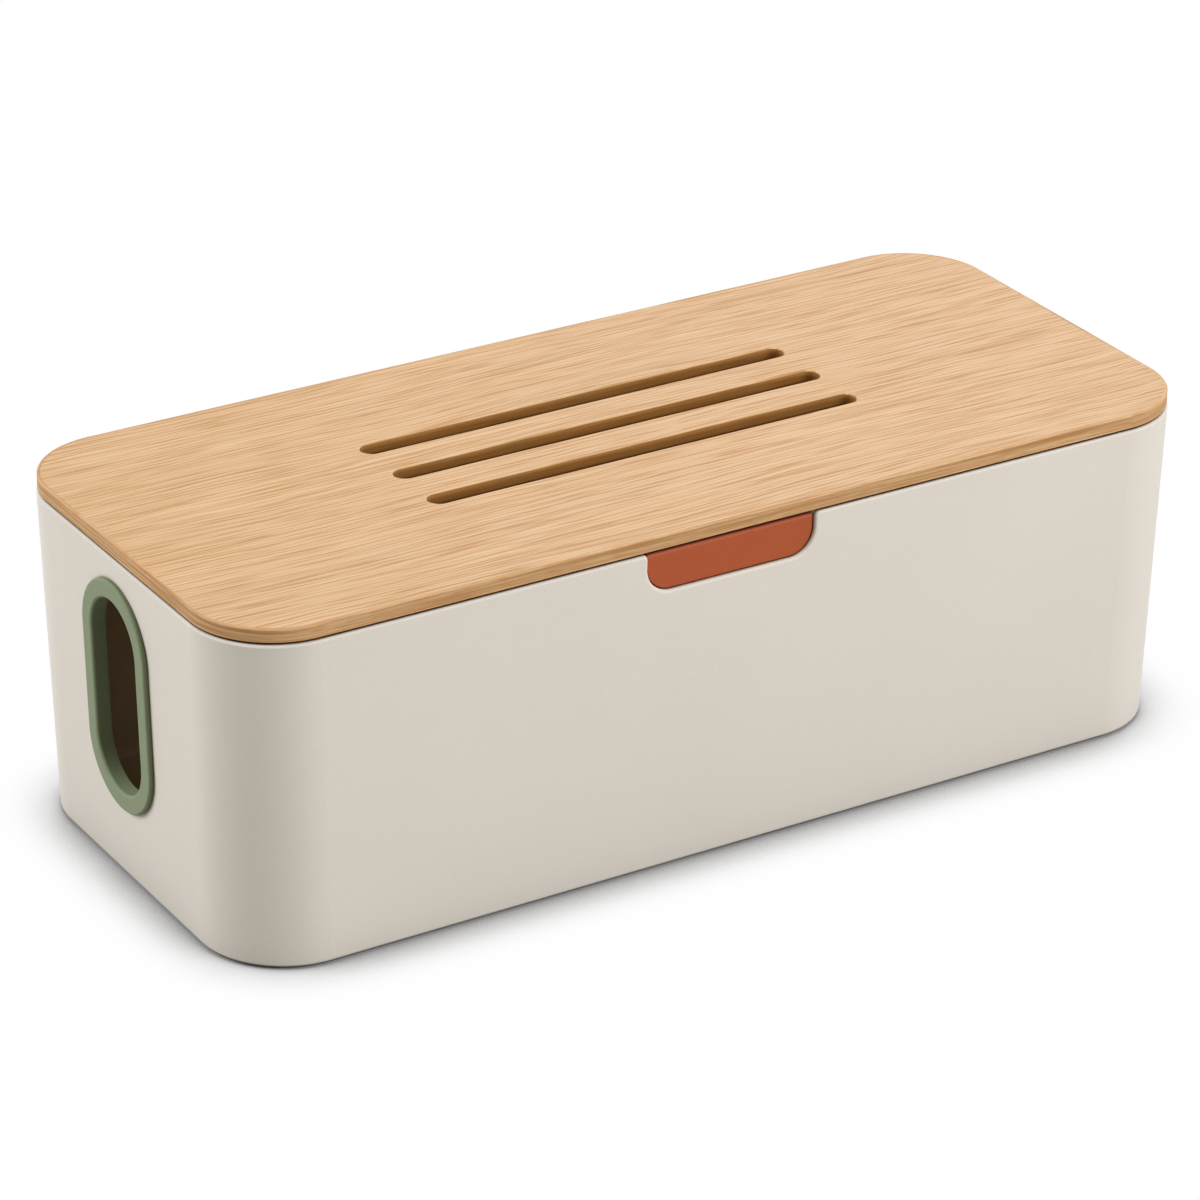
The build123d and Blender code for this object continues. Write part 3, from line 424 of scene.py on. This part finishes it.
def moulded(name, tint, roughness, painted_inner_shade=None, painted_shade_width=1.0, **sockets):
    """Injection-moulded plastic or rubber: an even tint over the fine grain of an eroded mould.

    The grain breaks the highlight into a satin one. Flow of the melt leaves a faint slow change
    of tint. Narrow joints and hollows get a painted shade, dark and brown, from an ambient-occlusion mask.
    """
    style = look("moulded")
    sockets = {"Roughness": roughness, "Specular IOR Level": PLASTIC_SHINE, **sockets}
    material, tree, shader = new_material(name, **sockets)
    where = add(tree, "TexCoord").outputs["Object"]
    # Painted shade: the tub's inner faces take the darker, warmer inner tone
    if painted_inner_shade:
        inner = inside_share(tree, style, where)
        tint = add(tree, "Mix", {0: inner, 6: tint, 7: painted_inner_shade}, data_type="RGBA").outputs[2]
    flow = add(tree, "TexNoise", {"Vector": where, "Scale": 1 / style.flow, "Detail": 3.0}).outputs["Fac"]
    grain = add(tree, "TexNoise", {"Vector": where, "Scale": 1 / style.grit, "Detail": 2.0}).outputs["Fac"]
    drift = add(tree, "MapRange", {0: flow, **NOISE_SPAN, **FLOW_TINT}).outputs[0]
    speck = add(tree, "MapRange", {0: grain, **NOISE_SPAN, **GRIT_TINT}).outputs[0]
    both = add(tree, "Math", {0: drift, 1: speck}, operation="MULTIPLY").outputs[0]
    toned = add(tree, "VectorMath", {0: tint, 3: both}, operation="SCALE").outputs[0]
    reach = painted_shade_width * style.joint
    # Painted shade: an ambient-occlusion mask darkens and browns the colour in narrow joints and hollows
    sky = add(tree, "AmbientOcclusion", {"Distance": reach}, samples=8).outputs["AO"]
    free = add(tree, "MapRange", {0: sky, **PAINTED_SHADE_SPAN, **UP}).outputs[0]
    joint = add(tree, "Mix", {0: free, 6: style.painted_joint_shade, 7: WHITE}, data_type="RGBA").outputs[2]
    toned = add(tree, "VectorMath", {0: toned, 1: joint}, operation="MULTIPLY").outputs[0]
    tree.links.new(toned, shader.inputs["Base Color"])
    bump = add(tree, "Bump", {"Height": grain, "Strength": 1.0, "Distance": GRIT_RELIEF})
    tree.links.new(bump.outputs[0], shader.inputs["Normal"])
    return material


def grain_line(tree, oak, where):
    """The board's coordinates, pushed aside as a tree's rings wander: slowly, and in small swings."""
    bend = drawn_noise(tree, where, BEND_RUN, BEND_PITCH, SEED["bend"])
    swing = drawn_noise(tree, where, oak.wave_run, SWING_PITCH, SEED["swing"])
    apart = add(tree, "SeparateXYZ", {0: where}).outputs
    push = add(tree, "Math", {0: bend, 1: BEND_REACH, 2: apart[1]}, operation="MULTIPLY_ADD").outputs[0]
    push = add(tree, "Math", {0: swing, 1: oak.wave, 2: push}, operation="MULTIPLY_ADD").outputs[0]
    return add(tree, "CombineXYZ", {0: apart[0], 1: push, 2: apart[2]}).outputs[0]


def late_wood(tree, oak, line):
    """Share of late wood: thin lines one ring apart, sin(2 pi * across / pitch + drift), whose
    drift makes the rings uneven and lets a line fade and come back along the board."""
    across = add(tree, "SeparateXYZ", {0: line}).outputs[1]
    drift = drawn_noise(tree, line, DRIFT_RUN, DRIFT_PITCH, SEED["drift"])
    phase = add(tree, "Math", {0: drift, 1: DRIFT_TURN}, operation="MULTIPLY").outputs[0]
    turns = math.tau / oak.ring_pitch
    phase = add(tree, "Math", {0: across, 1: turns, 2: phase}, operation="MULTIPLY_ADD").outputs[0]
    wave = add(tree, "Math", {0: phase}, operation="SINE").outputs[0]
    return add(tree, "MapRange", {0: wave, **RING_SPAN, **UP}).outputs[0]


def slot_distance(tree, oak, where):
    """Distance from the nearest slot's edge: the slot's middle line is a segment, and its round
    ends and sides lie half a width from it. The three slots are one, moved by whole pitches."""
    apart = add(tree, "SeparateXYZ", {0: where}).outputs
    row = add(tree, "Math", {0: apart[1], 1: oak.slot_y}, operation="SUBTRACT").outputs[0]
    count = add(tree, "Math", {0: row, 1: oak.slot_pitch}, operation="DIVIDE").outputs[0]
    whole = add(tree, "Math", {0: count}, operation="ROUND").outputs[0]
    nearest = add(tree, "Clamp", {0: whole, 1: -1.0, 2: 1.0}).outputs[0]
    side = add(tree, "Math", {0: nearest, 1: -oak.slot_pitch, 2: row}, operation="MULTIPLY_ADD").outputs[0]
    along = add(tree, "Math", {0: apart[0], 1: oak.slot_x}, operation="SUBTRACT").outputs[0]
    along = add(tree, "Math", {0: along}, operation="ABSOLUTE").outputs[0]
    half = (oak.slot_length - oak.slot_width) / 2
    past = add(tree, "Math", {0: along, 1: half}, operation="SUBTRACT").outputs[0]
    past = add(tree, "Math", {0: past, 1: 0.0}, operation="MAXIMUM").outputs[0]
    flat = add(tree, "CombineXYZ", {0: past, 1: side}).outputs[0]
    reach = add(tree, "VectorMath", {0: flat}, operation="LENGTH").outputs["Value"]
    return add(tree, "Math", {0: reach, 1: oak.slot_width / 2}, operation="SUBTRACT").outputs[0]


def planed_oak(tree, oak, line):
    """Colour of the planed face, and the figure of streaks and fine lines that it is drawn from."""
    streak = drawn_noise(tree, line, oak.streak_run, oak.streak_pitch, SEED["streak"])
    fine = drawn_noise(tree, line, oak.line_run, oak.line_pitch, SEED["line"])
    figure = add(tree, "Mix", {0: FINE_SHARE, 2: streak, 3: fine}).outputs[0]
    tones = ((0.18, oak.dark), (0.74, oak.light), (0.45, oak.middle))
    wood = add(tree, "ValToRGB", {0: figure}, tones).outputs[0]
    # The darkest fine lines are open pores.
    pores = add(tree, "MapRange", {0: fine, **PORE_SHARE}).outputs[0]
    wood = add(tree, "Mix", {0: pores, 6: wood, 7: oak.pore}, data_type="RGBA").outputs[2]
    # Late wood shows most where the fine lines are dark as well.
    kept = add(tree, "MapRange", {0: fine, **LATE_SHARE}).outputs[0]
    rings = add(tree, "Math", {0: late_wood(tree, oak, line), 1: kept}, operation="MULTIPLY").outputs[0]
    wood = add(tree, "Mix", {0: rings, 6: wood, 7: oak.dark}, data_type="RGBA").outputs[2]
    tone = drawn_noise(tree, line, TONE_RUN, TONE_PITCH, SEED["tone"])
    shade = add(tree, "MapRange", {0: tone, **NOISE_SPAN, **BOARD_TINT}).outputs[0]
    wood = add(tree, "VectorMath", {0: wood, 3: shade}, operation="SCALE").outputs[0]
    return wood, figure


def cut_slots(tree, oak, where, wood, figure):
    """The wood's colour with the slots in it: a pale painted highlight runs along their upper and
    lower arris, and their walls are brown and darken to their foot with painted shade."""
    height = add(tree, "SeparateXYZ", {0: where}).outputs[2]
    away = slot_distance(tree, oak, where)
    # Painted highlight: the wood is paler near each slot's edge
    arris_highlight = add(tree, "MapRange", {0: away, 1: oak.arris_highlight_width, 2: 0.0, 3: 1.0, 4: ARRIS_HIGHLIGHT_TINT}).outputs[0]
    wood = add(tree, "VectorMath", {0: wood, 3: arris_highlight}, operation="SCALE").outputs[0]
    top, foot = BOARD_HIGH.z, BOARD_LOW.z
    depth = add(tree, "MapRange", {0: height, 1: foot, 2: top - oak.slot_arris, **UP}).outputs[0]
    # Painted shade: the walls darken with depth to a near-black foot
    tones = ((0.0, oak.cut_foot_painted_shade), (1.0, oak.cut), (0.2, oak.cut_painted_shade), (0.6, oak.cut_painted_shade))
    brown = add(tree, "ValToRGB", {0: depth}, tones).outputs[0]
    lined = add(tree, "MapRange", {0: figure, **WALL_TINT}).outputs[0]
    brown = add(tree, "VectorMath", {0: brown, 3: lined}, operation="SCALE").outputs[0]
    # The brown starts at the chamfer's foot, is full half a chamfer lower, and keeps to the walls.
    full, none = top - 1.5 * oak.slot_arris, top - 0.95 * oak.slot_arris
    below = add(tree, "MapRange", {0: height, 1: full, 2: none, **DOWN}).outputs[0]
    wall = add(tree, "MapRange", {0: away, **SLOT_WALL, **DOWN}).outputs[0]
    sawn = add(tree, "Math", {0: below, 1: wall}, operation="MULTIPLY").outputs[0]
    return add(tree, "Mix", {0: sawn, 6: wood, 7: brown}, data_type="RGBA").outputs[2]


def oak_face(oak):
    """Rift-sawn oak under a matt lacquer.

    Thin streaks and fine lines run the board's length in small swings, over a slow change of tone,
    and the three slots are cut through it.
    """
    material, tree, shader = new_material("rift-sawn oak, matt lacquer", **{"Specular IOR Level": OAK_SHINE})
    where = add(tree, "TexCoord").outputs["Object"]
    wood, figure = planed_oak(tree, oak, grain_line(tree, oak, where))
    wood = cut_slots(tree, oak, where, wood, figure)
    tree.links.new(wood, shader.inputs["Base Color"])
    gloss = add(tree, "MapRange", {0: figure, **NOISE_SPAN, **BOARD_GLOSS})
    tree.links.new(gloss.outputs[0], shader.inputs["Roughness"])
    bump = add(tree, "Bump", {"Height": figure, "Strength": 1.0, "Distance": BOARD_RELIEF})
    tree.links.new(bump.outputs[0], shader.inputs["Normal"])
    return material


def oak_edge(oak):
    """Oak edge band under matt lacquer: straight lines that follow the edge round the corners."""
    material, tree, shader = new_material("oak edge band, matt lacquer", **{"Specular IOR Level": OAK_SHINE})
    where = add(tree, "UVMap", uv_map="grain").outputs[0]
    streak = drawn_noise(tree, where, oak.edge_run, oak.edge_pitch, SEED["edge streak"], detail=3.0)
    fine = drawn_noise(tree, where, oak.edge_line_run, oak.edge_line_pitch, SEED["edge line"])
    wood = add(tree, "ValToRGB", {0: streak}, ((0.36, oak.edge_dark), (0.62, oak.edge))).outputs[0]
    lines = add(tree, "MapRange", {0: fine, **BAND_LINES}).outputs[0]
    wood = add(tree, "Mix", {0: lines, 6: wood, 7: oak.pore}, data_type="RGBA").outputs[2]
    # Painted highlights along both arrises, and a darker line under the upper one, by height on the band
    height = add(tree, "SeparateXYZ", {0: add(tree, "TexCoord").outputs["Object"]}).outputs[2]
    place = add(tree, "MapRange", {0: height, 1: BAND_LOW.z, 2: BAND_HIGH.z, **UP}).outputs[0]
    # A ramp's colours end at 1, so it holds half of each tone.
    halves = [(stop, (tone / 2,) * 3) for stop, tone in EDGE_TONES_AND_HIGHLIGHTS]
    half = add(tree, "ValToRGB", {0: place}, halves).outputs[0]
    toned = add(tree, "VectorMath", {0: half, 3: 2.0}, operation="SCALE").outputs[0]
    wood = add(tree, "VectorMath", {0: wood, 1: toned}, operation="MULTIPLY").outputs[0]
    tree.links.new(wood, shader.inputs["Base Color"])
    gloss = add(tree, "MapRange", {0: streak, **NOISE_SPAN, **BAND_GLOSS})
    tree.links.new(gloss.outputs[0], shader.inputs["Roughness"])
    bump = add(tree, "Bump", {"Height": streak, "Strength": 1.0, "Distance": BAND_RELIEF})
    tree.links.new(bump.outputs[0], shader.inputs["Normal"])
    return material


def plated(name, code, roughness, pitch):
    """Plated or drawn steel: a bright metal whose gloss is broken by a fine crystal or draw grain."""
    material, tree, shader = new_material(name, **{"Base Color": linear(code), "Metallic": 1.0})
    where = add(tree, "TexCoord").outputs["Object"]
    grain = add(tree, "TexNoise", {"Vector": where, "Scale": 1 / pitch, "Detail": 3.0}).outputs["Fac"]
    bright, dull = roughness - 0.06, roughness + 0.08
    gloss = add(tree, "MapRange", {0: grain, **NOISE_SPAN, 3: bright, 4: dull})
    tree.links.new(gloss.outputs[0], shader.inputs["Roughness"])
    bump = add(tree, "Bump", {"Height": grain, "Strength": 1.0, "Distance": STEEL_RELIEF})
    tree.links.new(bump.outputs[0], shader.inputs["Normal"])
    return material


def dress(node, material):
    """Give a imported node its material."""
    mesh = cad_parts[node].data
    mesh.materials.clear()
    mesh.materials.append(material)


# ---------------------------------------------------------------- operators

class DressTub(bpy.types.Operator):
    """Give the tub, its feet and the lid's bumpers their plastic and rubber"""

    bl_idname = "cable_box.dress_tub"
    bl_label = "Dress the tub"

    def execute(self, context):
        tint = look("moulded")
        tub = moulded("greige polypropylene, moulded", tint.shell, roughness=0.45,
                      painted_inner_shade=tint.inside, IOR=1.49)
        dress("box_shell", tub)
        housing = moulded("greige polypropylene, housing", tint.shell, roughness=0.45, IOR=1.49)
        dress("latch_housing", housing)
        rubber = moulded("black thermoplastic rubber, moulded", tint.rubber, roughness=0.75)
        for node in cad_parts:
            if node.startswith(("foot_", "lid_bumper_")):
                dress(node, rubber)
        return {"FINISHED"}


class MakeGrommets(bpy.types.Operator):
    """Make the two soft grommets that line the cable ports"""

    bl_idname = "cable_box.make_grommets"
    bl_label = "Make the grommets"

    def execute(self, context):
        size = look("grommet")
        tint = look("moulded")
        silicone = moulded("sage silicone, moulded", tint.sage, roughness=0.5, IOR=1.41)
        half_width, half_height = size.width / 2, size.height / 2
        opening = [(half_width, -half_height), (half_width, half_height),
                   (-half_width, half_height), (-half_width, -half_height)]
        path = rounded_outline(opening, half_width, PATH_STEPS)
        rear = size.groove + size.lip_thickness
        corners = [(0, size.proud), (0, -rear), (size.lip, -rear), (size.lip, -size.groove),
                   (size.sleeve, -size.groove), (size.sleeve, 0), (size.flange, 0), (size.flange, size.proud)]
        small = size.small_round
        radii = [size.bore_round, small, size.lip_thickness / 2, small, small, small, small, size.outer_round]
        section = rounded_outline(corners, radii, ARC_STEPS)
        middle = (PORT_LOW + PORT_HIGH) / 2
        for end, side in (("left", -1), ("right", 1)):
            out = Vector((side * math.cos(size.lean), 0, -math.sin(size.lean)))
            across = Vector((0, side, 0))
            place = np.eye(4)
            place[:3, 0] = across
            place[:3, 1] = out.cross(across)
            place[:3, 2] = out
            place[:3, 3] = (side * size.wall_x, middle.y, middle.z)
            piece = ring_piece(f"port_grommet_{end}", path, section, place)
            piece.data.materials.append(silicone)
            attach(piece, "box")
            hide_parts(f"cable_grommet_{end}")
        return {"FINISHED"}


class MakeLid(bpy.types.Operator):
    """Dress the oak board and the parts under it, and make its edge band"""

    bl_idname = "cable_box.make_lid"
    bl_label = "Make the lid"

    def execute(self, context):
        oak = look("oak")
        tint = look("moulded")
        dress("lid_board", oak_face(oak))
        half_x = BAND_HIGH.x - oak.band_width
        half_y = BAND_HIGH.y - oak.band_width
        board = [(half_x, -half_y), (half_x, half_y), (-half_x, half_y), (-half_x, -half_y)]
        path = rounded_outline(board, oak.band_radius, PATH_STEPS)
        corners = [(0, BAND_LOW.z), (oak.band_width, BAND_LOW.z),
                   (oak.band_width, BAND_HIGH.z), (0, BAND_HIGH.z)]
        seam = 0.05 * MM
        section = rounded_outline(corners, [seam, oak.low_round, oak.top_round, seam], ARC_STEPS)
        band = ring_piece("oak_edge_band", path, section, np.eye(4))
        band.data.materials.append(oak_edge(oak))
        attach(band, "lid")
        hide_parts("lid_edge_band")
        greige = moulded("greige polypropylene, lid frame", tint.shell, roughness=0.5, IOR=1.49)
        dress("lid_frame", greige)
        dress("lid_catch_pad", greige)
        sheet = plated("zinc-plated steel sheet", "C9CACB", roughness=0.38, pitch=1.5 * MM)
        dress("lid_strike", sheet)
        screws = plated("zinc-plated steel screws", "BFC0C2", roughness=0.32, pitch=0.5 * MM)
        for node in ("lid_frame_screws", "lid_strike_screws", "latch_housing_screws"):
            dress(node, screws)
        return {"FINISHED"}


class DressLatch(bpy.types.Operator):
    """Give the press tab, its sled, magnets and springs their finishes"""

    bl_idname = "cable_box.dress_latch"
    bl_label = "Dress the latch"

    def execute(self, context):
        tint = look("moulded")
        # The lid's shade on the tab is painted, with a wider reach
        terracotta = moulded("terracotta ABS, moulded", tint.tab, roughness=0.5,
                             painted_shade_width=TAB_PAINTED_SHADE, IOR=1.53)
        dress("latch_tab", terracotta)
        dress("latch_sled", moulded("natural acetal, moulded", tint.sled, roughness=0.4, IOR=1.48))
        nickel = plated("nickel-plated magnet", "CFCCC4", roughness=0.22, pitch=0.8 * MM)
        wire = plated("drawn spring steel", "A8A9AB", roughness=0.3, pitch=0.3 * MM)
        for end in ("left", "right"):
            dress(f"latch_magnet_{end}", nickel)
            spring = f"latch_spring_{end}"
            dress(spring, wire)
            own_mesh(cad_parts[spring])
        return {"FINISHED"}


class BuildStage(bpy.types.Operator):
    """Lay the floor, hang the lamps, set the even light and place the camera"""

    bl_idname = "cable_box.build_stage"
    bl_label = "Build the stage"

    def execute(self, context):
        stage = look("stage")
        lay_floor(stage)
        even_light(stage)
        for side, (heading, rise) in SOFTBOXES.items():
            softbox(stage, side, heading, math.radians(rise))
        place_camera(stage)
        context.scene.view_settings.view_transform = "Standard"
        return {"FINISHED"}


def seen_by_eye(tree):
    """1 for rays that show the surface directly, in a mirror or through glass, else 0."""
    path = add(tree, "LightPath")
    direct = add(tree, "Math", {0: path.outputs["Is Camera Ray"], 1: path.outputs["Is Glossy Ray"]},
                 operation="MAXIMUM")
    either = add(tree, "Math", {0: direct.outputs[0], 1: path.outputs["Is Transmission Ray"]},
                 operation="MAXIMUM")
    return either.outputs[0]


def seamless_paper(stage):
    """White seamless paper: it is seen white, and a painted shadow darkens it where the box stands close over
    it.

    Beside an upright wall half of the sky is open, so the shade is full at 0.5 and ends at 1.
    """
    material = bpy.data.materials.new("white seamless paper")
    material.use_nodes = True
    tree = material.node_tree
    tree.nodes.clear()
    seen = seen_by_eye(tree)
    # Painted shadow: an ambient-occlusion mask fades the white into the lamp-lit paper near the box
    sky = add(tree, "AmbientOcclusion", {"Distance": stage.shade_reach}, samples=8).outputs["AO"]
    close = add(tree, "MapRange", {0: sky, 1: 0.5, 2: 1.0, **DOWN}).outputs[0]
    shade = add(tree, "Math", {0: close, 1: stage.shade_fall}, operation="POWER").outputs[0]
    clear = add(tree, "Math", {0: 1.0, 1: shade}, operation="SUBTRACT").outputs[0]
    shown = add(tree, "Math", {0: seen, 1: clear}, operation="MULTIPLY").outputs[0]
    # The light that the paper returns to the box is darkened by the same painted shadow
    returned = add(tree, "Math", {0: clear, 1: stage.floor_bounce}, operation="MULTIPLY").outputs[0]
    tone = add(tree, "Mix", {0: seen, 2: returned, 3: stage.floor_shade}).outputs[0]
    paper = add(tree, "BsdfDiffuse", {"Color": tone}).outputs[0]
    plain = add(tree, "Emission", {"Color": WHITE, "Strength": 1.0}).outputs[0]
    mixed = add(tree, "MixShader", {0: shown, 1: paper, 2: plain}).outputs[0]
    add(tree, "OutputMaterial", {"Surface": mixed})
    return material


def lay_floor(stage):
    """A flat square, P(u, v) = (u, v, 0), under the feet."""
    row = FLOOR_STEPS + 1
    line = np.linspace(-stage.floor_size / 2, stage.floor_size / 2, row)
    x, y = np.meshgrid(line, line, indexing="ij")
    points = np.stack([x, y, np.zeros_like(x)], axis=-1).reshape(-1, 3)
    steps = np.arange(FLOOR_STEPS)
    i, j = (index.ravel() for index in np.meshgrid(steps, steps, indexing="ij"))
    faces = np.stack([i * row + j, (i + 1) * row + j, (i + 1) * row + j + 1, i * row + j + 1], axis=1)
    mesh = bpy.data.meshes.new("floor")
    mesh.from_pydata(points.tolist(), [], faces.tolist())
    mesh.materials.append(seamless_paper(stage))
    floor = bpy.data.objects.new("floor", mesh)
    bpy.context.scene.collection.objects.link(floor)


def even_light(stage):
    """Even light from all round, which is white where it is seen."""
    world = bpy.data.worlds.new("even light")
    world.use_nodes = True
    tree = world.node_tree
    tree.nodes.clear()
    seen = seen_by_eye(tree)
    soft = add(tree, "Background", {"Color": stage.fill_tint, "Strength": stage.fill}).outputs[0]
    plain = add(tree, "Background", {"Color": WHITE, "Strength": 1.0}).outputs[0]
    mixed = add(tree, "MixShader", {0: seen, 1: soft, 2: plain}).outputs[0]
    add(tree, "OutputWorld", {"Surface": mixed})
    bpy.context.scene.world = world


def softbox(stage, side, heading, rise):
    """A square lamp aimed at the middle of the box, from its heading in plan and its rise.

    A face turned to it gets level times pi of light: power = level * pi^2 * distance^2.
    """
    level = getattr(stage, f"{side}_level")
    toward = Vector((*heading, 0)).normalized() * math.cos(rise) + Vector((0, 0, math.sin(rise)))
    lamp = bpy.data.lights.new(f"{side}_softbox", "AREA")
    lamp.shape = "SQUARE"
    lamp.size = stage.lamp_size
    lamp.color = stage.lamp_tint
    lamp.energy = level * (math.pi * stage.lamp_distance) ** 2
    holder = bpy.data.objects.new(f"{side}_softbox", lamp)
    turn = toward.to_track_quat("Z", "Y").to_matrix().to_4x4()
    holder.matrix_world = Matrix.Translation(toward * stage.lamp_distance) @ turn
    bpy.context.scene.collection.objects.link(holder)


def place_camera(stage):
    """A long lens at the viewing angle, aimed a little left of the box's middle and below it."""
    turned, raised, roll = stage.azimuth, stage.elevation, stage.roll
    heading = Vector((math.sin(turned), -math.cos(turned), 0))
    back = heading * math.cos(raised) + Vector((0, 0, math.sin(raised)))
    level = Vector((math.cos(turned), math.sin(turned), 0))
    upright = back.cross(level)
    right = level * math.cos(roll) + upright * math.sin(roll)
    up = upright * math.cos(roll) - level * math.sin(roll)
    aim = Vector((0, 0, stage.aim_height)) - right * stage.box_right - up * stage.box_up
    lens = bpy.data.cameras.new("camera")
    lens.lens = stage.lens
    lens.sensor_width = 36
    lens.clip_end = 50
    camera = bpy.data.objects.new("camera", lens)
    turn = Matrix((right, up, back)).transposed().to_4x4()
    camera.matrix_world = Matrix.Translation(aim + back * stage.distance) @ turn
    bpy.context.scene.collection.objects.link(camera)
    bpy.context.scene.camera = camera


# ---------------------------------------------------------------- panel and registration

OPERATORS = (DressTub, MakeGrommets, MakeLid, DressLatch, BuildStage)


class CableBoxPanel(bpy.types.Panel):
    """Buttons and settings of the cable box"""

    bl_idname = "VIEW3D_PT_cable_box"
    bl_label = "Cable box"
    bl_space_type = "VIEW_3D"
    bl_region_type = "UI"
    bl_category = "Cable box"

    def draw(self, context):
        for operator in OPERATORS:
            self.layout.operator(operator.bl_idname)
        for name, group in LOOKS.items():
            box = self.layout.box()
            box.label(text=name.capitalize())
            for key in group.__annotations__:
                box.prop(look(name), key)


CLASSES = (*LOOKS.values(), *OPERATORS, CableBoxPanel)


def register():
    """Register the classes and hang each group of settings on the scene."""
    for each in CLASSES:
        bpy.utils.register_class(each)
    for name, group in LOOKS.items():
        setattr(bpy.types.Scene, "cable_box_" + name, PointerProperty(type=group))


def unregister():
    """Undo register, in the opposite order."""
    for name in LOOKS:
        delattr(bpy.types.Scene, "cable_box_" + name)
    for each in reversed(CLASSES):
        bpy.utils.unregister_class(each)


def main():
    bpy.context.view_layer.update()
    register()
    bpy.ops.cable_box.dress_tub()
    bpy.ops.cable_box.make_grommets()
    bpy.ops.cable_box.make_lid()
    bpy.ops.cable_box.dress_latch()
    bpy.ops.cable_box.build_stage()


if __name__ == "__main__":
    main()
